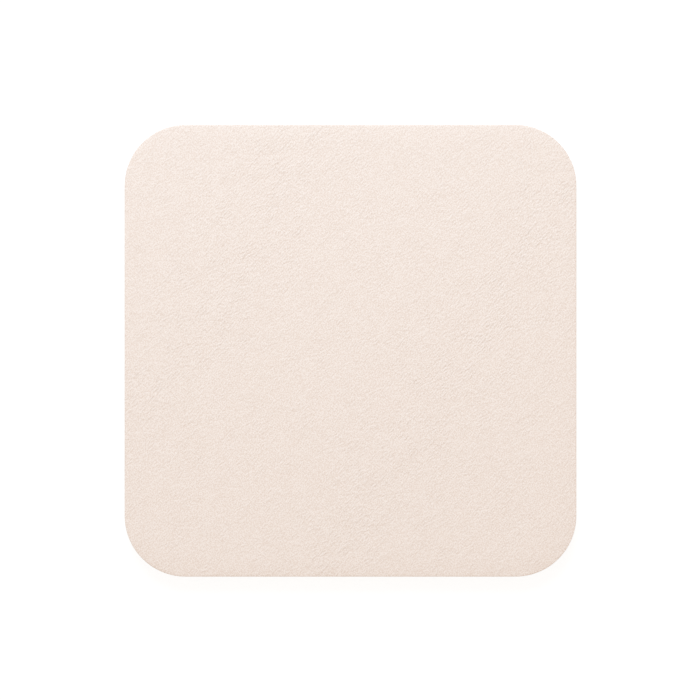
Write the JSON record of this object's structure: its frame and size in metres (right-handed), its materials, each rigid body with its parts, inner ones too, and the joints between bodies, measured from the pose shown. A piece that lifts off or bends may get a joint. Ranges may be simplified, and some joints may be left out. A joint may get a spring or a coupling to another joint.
{
  "type": "silicone foam dressing",
  "caption": "Flat square foam wound dressing with rounded corners, a shallow shoulder round its film face and a silicone contact face.",
  "frame": {"origin": "centre of the tacky silicone face, which is the underside the pad lies on", "axes": "+Z out of the film face, +X and +Y along the two sides of the square"},
  "size_m": [0.1, 0.1, 0.005],
  "materials": {
    "dressing": "matte"
  },
  "bodies": {
    "root": {"silicone_dressing": "dressing"}
  },
  "joints": []
}
